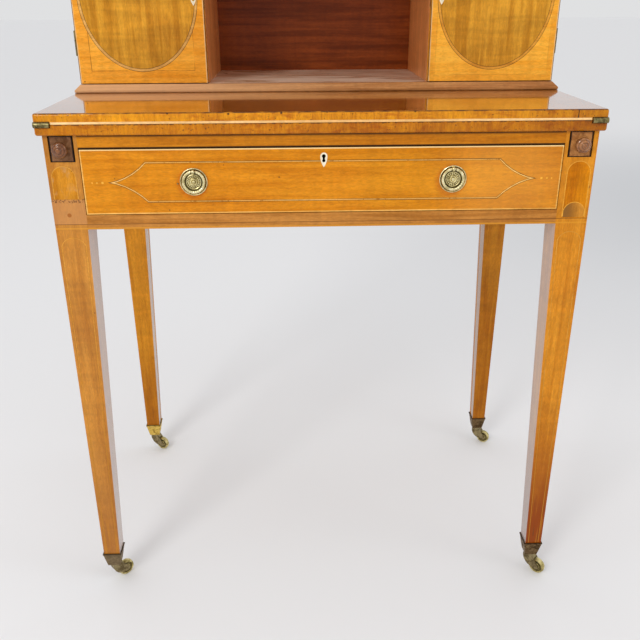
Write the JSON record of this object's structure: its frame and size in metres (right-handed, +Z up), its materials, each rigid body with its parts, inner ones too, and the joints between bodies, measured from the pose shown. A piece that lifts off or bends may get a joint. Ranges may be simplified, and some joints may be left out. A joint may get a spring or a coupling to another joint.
{
  "type": "bonheur du jour",
  "caption": "Writing table on tapered legs with brass casters, a frieze drawer with ring pulls, sliding lopers, a fold-over leaf, and cupboards beside an open recess.",
  "frame": {"origin": "on the floor under the middle of the table's outline", "axes": "+Z up, +X to the right of a person who faces the drawer, the drawer front faces -Y"},
  "size_m": [0.7533, 0.454, 1.0542],
  "materials": {
    "satinwood": "french polished veneer",
    "mahogany": "french polished",
    "oak": "bare, aged",
    "brass": "aged, lacquer worn off",
    "bone": "polished bone",
    "leather": "waxed"
  },
  "bodies": {
    "carcase": {"right_side_rail": "satinwood", "left_side_rail": "satinwood", "back_rail": "oak", "front_bottom_rail": "satinwood", "front_top_rail": "satinwood", "front_right_leg": "satinwood", "front_left_leg": "satinwood", "back_right_leg": "satinwood", "back_left_leg": "satinwood", "drawer_runners": "oak", "loper_guides": "oak", "leaf_hinge_fixed_plates": "brass", "fixed_top_leather": "leather", "fixed_top": "satinwood", "rear_top": "mahogany", "stage_back": "mahogany", "cupboard_partitions": "mahogany", "stage_base": "mahogany", "cupboard_top": "satinwood", "right_cupboard_end": "satinwood", "left_cupboard_end": "satinwood", "door_hinge_jamb_plates": "brass", "hinge_pins": "brass", "caster_cups": "brass"},
    "leaf": {"writing_leaf": "satinwood", "writing_leaf_leather": "leather", "leaf_hinge_moving_plates": "brass"},
    "drawer": {"drawer_front": "satinwood", "drawer_left_side": "oak", "drawer_right_side": "oak", "drawer_back": "oak", "drawer_bottom": "oak", "drawer_lock": "brass", "drawer_escutcheon": "bone", "ring_pull_backplates": "brass"},
    "left_loper": {"left_loper": "mahogany", "left_loper_knob": "mahogany", "left_loper_peg": "mahogany"},
    "left_ring": {"left_pull_ring": "brass"},
    "left_door": {"left_door": "satinwood", "left_door_hinge_plates": "brass", "left_door_escutcheon": "bone", "left_door_lock": "brass"},
    "right_loper": {"right_loper": "mahogany", "right_loper_knob": "mahogany", "right_loper_peg": "mahogany"},
    "right_ring": {"right_pull_ring": "brass"},
    "right_door": {"right_door": "satinwood", "right_door_hinge_plates": "brass", "right_door_escutcheon": "bone", "right_door_lock": "brass"},
    "front_left_swivel": {"front_left_caster_fork": "brass"},
    "front_left_wheel": {"front_left_caster_wheel": "brass"},
    "front_right_swivel": {"front_right_caster_fork": "brass"},
    "front_right_wheel": {"front_right_caster_wheel": "brass"},
    "back_left_swivel": {"back_left_caster_fork": "brass"},
    "back_left_wheel": {"back_left_caster_wheel": "brass"},
    "back_right_swivel": {"back_right_caster_fork": "brass"},
    "back_right_wheel": {"back_right_caster_wheel": "brass"}
  },
  "joints": [
    {"name": "leaf_fold", "type": "hinge", "parent": "carcase", "child": "leaf", "pos_m": [0, -0.2173, 0.7608], "axis": [1, 0, 0], "range_deg": [0, 180]},
    {"name": "drawer_slide", "type": "slide", "parent": "carcase", "child": "drawer", "axis": [0, -1, 0], "range_m": [0, 0.29]},
    {"name": "left_loper_slide", "type": "slide", "parent": "carcase", "child": "left_loper", "axis": [0, -1, 0], "range_m": [0, 0.18]},
    {"name": "left_ring_swing", "type": "hinge", "parent": "drawer", "child": "left_ring", "pos_m": [-0.174, -0.2135, 0.698], "axis": [-1, 0, 0], "range_deg": [0, 90]},
    {"name": "left_door_swing", "type": "hinge", "parent": "carcase", "child": "left_door", "pos_m": [-0.3678, 0.0186, 0.7876], "axis": [0, 0, -1], "range_deg": [0, 170]},
    {"name": "right_loper_slide", "type": "slide", "parent": "carcase", "child": "right_loper", "axis": [0, -1, 0], "range_m": [0, 0.18]},
    {"name": "right_ring_swing", "type": "hinge", "parent": "drawer", "child": "right_ring", "pos_m": [0.174, -0.2135, 0.698], "axis": [-1, 0, 0], "range_deg": [0, 90]},
    {"name": "right_door_swing", "type": "hinge", "parent": "carcase", "child": "right_door", "pos_m": [0.3678, 0.0186, 0.7876], "axis": [0, 0, 1], "range_deg": [0, 170]},
    {"name": "front_left_swivel", "type": "hinge", "parent": "carcase", "child": "front_left_swivel", "pos_m": [-0.35275, -0.19675, 0.0347], "axis": [0, 0, 1], "continuous": true},
    {"name": "front_left_roll", "type": "hinge", "parent": "front_left_swivel", "child": "front_left_wheel", "pos_m": [-0.34012, -0.18538, 0.0135], "axis": [-0.6691, 0.7431, 0], "continuous": true},
    {"name": "front_right_swivel", "type": "hinge", "parent": "carcase", "child": "front_right_swivel", "pos_m": [0.35275, -0.19675, 0.0347], "axis": [0, 0, 1], "continuous": true},
    {"name": "front_right_roll", "type": "hinge", "parent": "front_right_swivel", "child": "front_right_wheel", "pos_m": [0.36477, -0.20877, 0.0135], "axis": [0.7071, 0.7071, 0], "continuous": true},
    {"name": "back_left_swivel", "type": "hinge", "parent": "carcase", "child": "back_left_swivel", "pos_m": [-0.35275, 0.20875, 0.0347], "axis": [0, 0, 1], "continuous": true},
    {"name": "back_left_roll", "type": "hinge", "parent": "back_left_swivel", "child": "back_left_wheel", "pos_m": [-0.33734, 0.20156, 0.0135], "axis": [0.4226, 0.9063, 0], "continuous": true},
    {"name": "back_right_swivel", "type": "hinge", "parent": "carcase", "child": "back_right_swivel", "pos_m": [0.35275, 0.20875, 0.0347], "axis": [0, 0, 1], "continuous": true},
    {"name": "back_right_roll", "type": "hinge", "parent": "back_right_swivel", "child": "back_right_wheel", "pos_m": [0.36747, 0.20025, 0.0135], "axis": [0.5, 0.866, 0], "continuous": true}
  ]
}
